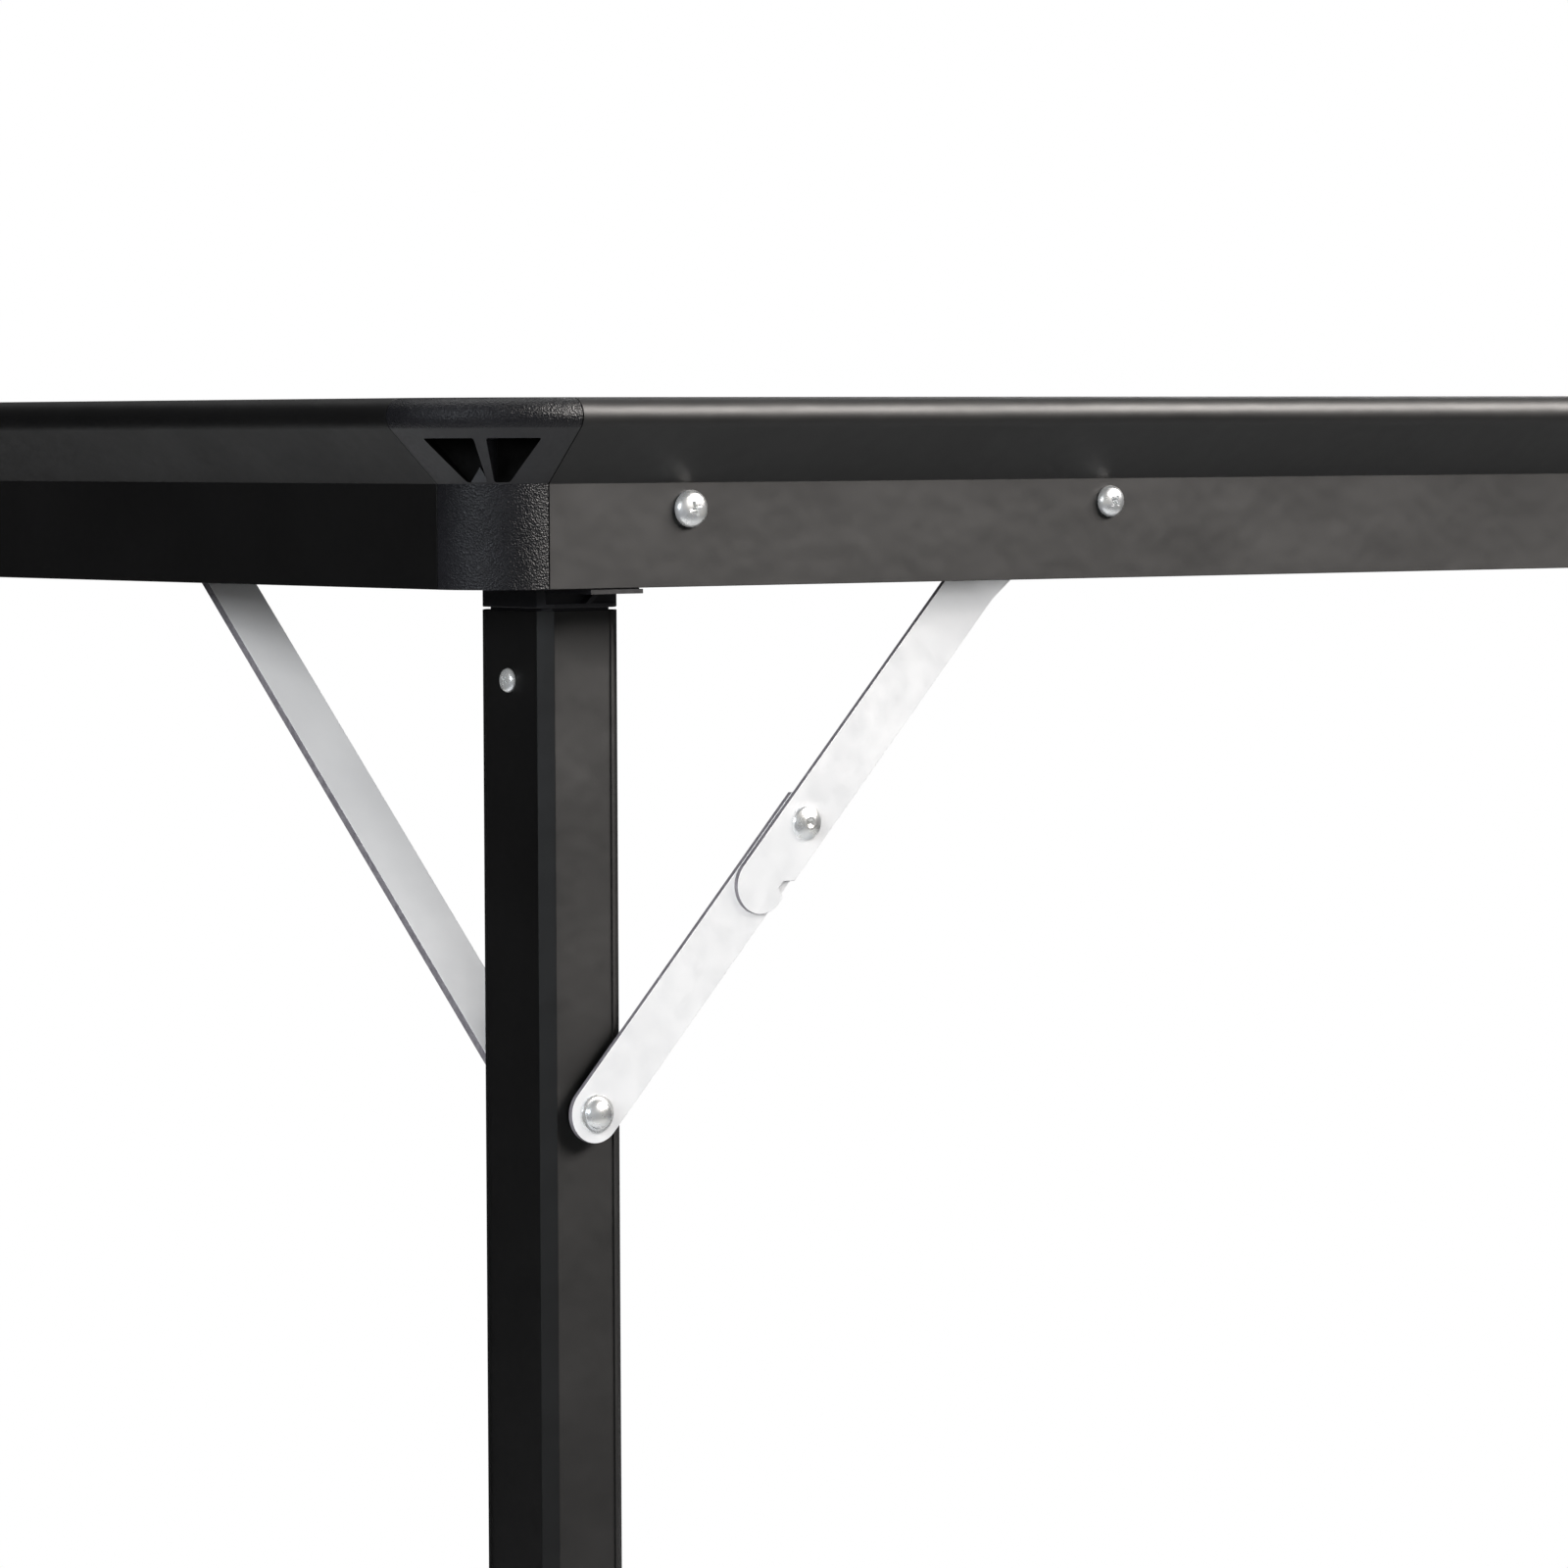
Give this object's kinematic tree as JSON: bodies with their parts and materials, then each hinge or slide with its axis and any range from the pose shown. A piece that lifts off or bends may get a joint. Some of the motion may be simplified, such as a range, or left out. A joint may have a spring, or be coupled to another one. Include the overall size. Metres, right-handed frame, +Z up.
{
  "type": "folding table",
  "caption": "Long folding table: laminated top in a black rim with moulded corners, on two folding leg frames held by jointed silver stays.",
  "frame": {"origin": "on the floor, under the middle of the top, with the legs unfolded", "axes": "+X along the long side, +Y along the short side from front to back, +Z up"},
  "size_m": [1.5, 0.8, 0.72],
  "materials": {
    "black_rail": "satin black coated extrusion",
    "black_plastic": "fine grained moulded plastic",
    "top_laminate": "board with a fine textured dark laminate",
    "silver_aluminium": "satin silver flat bar",
    "zinc_steel": "bright zinc plated"
  },
  "bodies": {
    "table": {"tabletop_panel": "top_laminate", "rail_front": "black_rail", "rail_back": "black_rail", "rail_left": "black_rail", "rail_right": "black_rail", "corner_cap_front_left": "black_plastic", "corner_cap_front_right": "black_plastic", "corner_cap_back_left": "black_plastic", "corner_cap_back_right": "black_plastic", "hinge_bracket_front_left": "black_plastic", "hinge_bracket_front_right": "black_plastic", "hinge_bracket_back_left": "black_plastic", "hinge_bracket_back_right": "black_plastic", "hinge_screw_front_left": "zinc_steel", "hinge_screw_front_right": "zinc_steel", "hinge_screw_back_left": "zinc_steel", "hinge_screw_back_right": "zinc_steel", "stay_bracket_front_left": "zinc_steel", "stay_bracket_front_right": "zinc_steel", "stay_bracket_back_left": "zinc_steel", "stay_bracket_back_right": "zinc_steel"},
    "leg_frame_left": {"cross_tube_left": "black_rail", "leg_tube_front_left": "black_rail", "leg_tube_back_left": "black_rail", "leg_head_front_left": "black_plastic", "leg_head_back_left": "black_plastic", "leg_foot_front_left": "black_plastic", "leg_foot_back_left": "black_plastic", "hinge_pin_front_left": "zinc_steel", "hinge_pin_back_left": "zinc_steel", "leg_brace_front_left": "silver_aluminium", "leg_brace_back_left": "silver_aluminium"},
    "leg_frame_right": {"cross_tube_right": "black_rail", "leg_tube_front_right": "black_rail", "leg_tube_back_right": "black_rail", "leg_head_front_right": "black_plastic", "leg_head_back_right": "black_plastic", "leg_foot_front_right": "black_plastic", "leg_foot_back_right": "black_plastic", "hinge_pin_front_right": "zinc_steel", "hinge_pin_back_right": "zinc_steel", "leg_brace_front_right": "silver_aluminium", "leg_brace_back_right": "silver_aluminium"},
    "stay_upper_front_left": {"stay_upper_bar_front_left": "silver_aluminium"},
    "stay_lower_front_left": {"stay_lower_bar_front_left": "silver_aluminium", "elbow_rivet_front_left": "zinc_steel", "leg_rivet_front_left": "zinc_steel"},
    "stay_upper_front_right": {"stay_upper_bar_front_right": "silver_aluminium"},
    "stay_lower_front_right": {"stay_lower_bar_front_right": "silver_aluminium", "elbow_rivet_front_right": "zinc_steel", "leg_rivet_front_right": "zinc_steel"},
    "stay_upper_back_left": {"stay_upper_bar_back_left": "silver_aluminium"},
    "stay_lower_back_left": {"stay_lower_bar_back_left": "silver_aluminium", "elbow_rivet_back_left": "zinc_steel", "leg_rivet_back_left": "zinc_steel"},
    "stay_upper_back_right": {"stay_upper_bar_back_right": "silver_aluminium"},
    "stay_lower_back_right": {"stay_lower_bar_back_right": "silver_aluminium", "elbow_rivet_back_right": "zinc_steel", "leg_rivet_back_right": "zinc_steel"}
  },
  "joints": [
    {"name": "fold_left", "type": "hinge", "parent": "table", "child": "leg_frame_left", "pos_m": [-0.6867, 0, 0.6856], "axis": [0, -1, 0], "range_deg": [0, 90]},
    {"name": "stay_swing_front_left", "type": "hinge", "parent": "table", "child": "stay_upper_front_left", "pos_m": [-0.5422, -0.3723, 0.688], "axis": [0, -1, 0], "range_deg": [0, 134.6]},
    {"name": "stay_elbow_front_left", "type": "hinge", "parent": "stay_upper_front_left", "child": "stay_lower_front_left", "pos_m": [-0.6182, -0.3666, 0.605], "axis": [0, 1, 0], "range_deg": [0, 178.5]},
    {"name": "stay_swing_back_left", "type": "hinge", "parent": "table", "child": "stay_upper_back_left", "pos_m": [-0.5422, 0.3723, 0.688], "axis": [0, -1, 0], "range_deg": [0, 134.6]},
    {"name": "stay_elbow_back_left", "type": "hinge", "parent": "stay_upper_back_left", "child": "stay_lower_back_left", "pos_m": [-0.6182, 0.3666, 0.605], "axis": [0, 1, 0], "range_deg": [0, 178.5]},
    {"name": "fold_right", "type": "hinge", "parent": "table", "child": "leg_frame_right", "pos_m": [0.6867, 0, 0.6856], "axis": [0, 1, 0], "range_deg": [0, 90]},
    {"name": "stay_swing_front_right", "type": "hinge", "parent": "table", "child": "stay_upper_front_right", "pos_m": [0.5422, -0.3723, 0.688], "axis": [0, 1, 0], "range_deg": [0, 134.6]},
    {"name": "stay_elbow_front_right", "type": "hinge", "parent": "stay_upper_front_right", "child": "stay_lower_front_right", "pos_m": [0.6182, -0.3666, 0.605], "axis": [0, -1, 0], "range_deg": [0, 178.5]},
    {"name": "stay_swing_back_right", "type": "hinge", "parent": "table", "child": "stay_upper_back_right", "pos_m": [0.5422, 0.3723, 0.688], "axis": [0, 1, 0], "range_deg": [0, 134.6]},
    {"name": "stay_elbow_back_right", "type": "hinge", "parent": "stay_upper_back_right", "child": "stay_lower_back_right", "pos_m": [0.6182, 0.3666, 0.605], "axis": [0, -1, 0], "range_deg": [0, 178.5]}
  ],
  "couplings": [
    {"joint": "stay_swing_front_left", "follows": "fold_left", "ratio": 1.4955},
    {"joint": "stay_elbow_front_left", "follows": "fold_left", "ratio": 1.9832},
    {"joint": "stay_swing_back_left", "follows": "fold_left", "ratio": 1.4955},
    {"joint": "stay_elbow_back_left", "follows": "fold_left", "ratio": 1.9832},
    {"joint": "stay_swing_front_right", "follows": "fold_right", "ratio": 1.4955},
    {"joint": "stay_elbow_front_right", "follows": "fold_right", "ratio": 1.9832},
    {"joint": "stay_swing_back_right", "follows": "fold_right", "ratio": 1.4955},
    {"joint": "stay_elbow_back_right", "follows": "fold_right", "ratio": 1.9832}
  ]
}
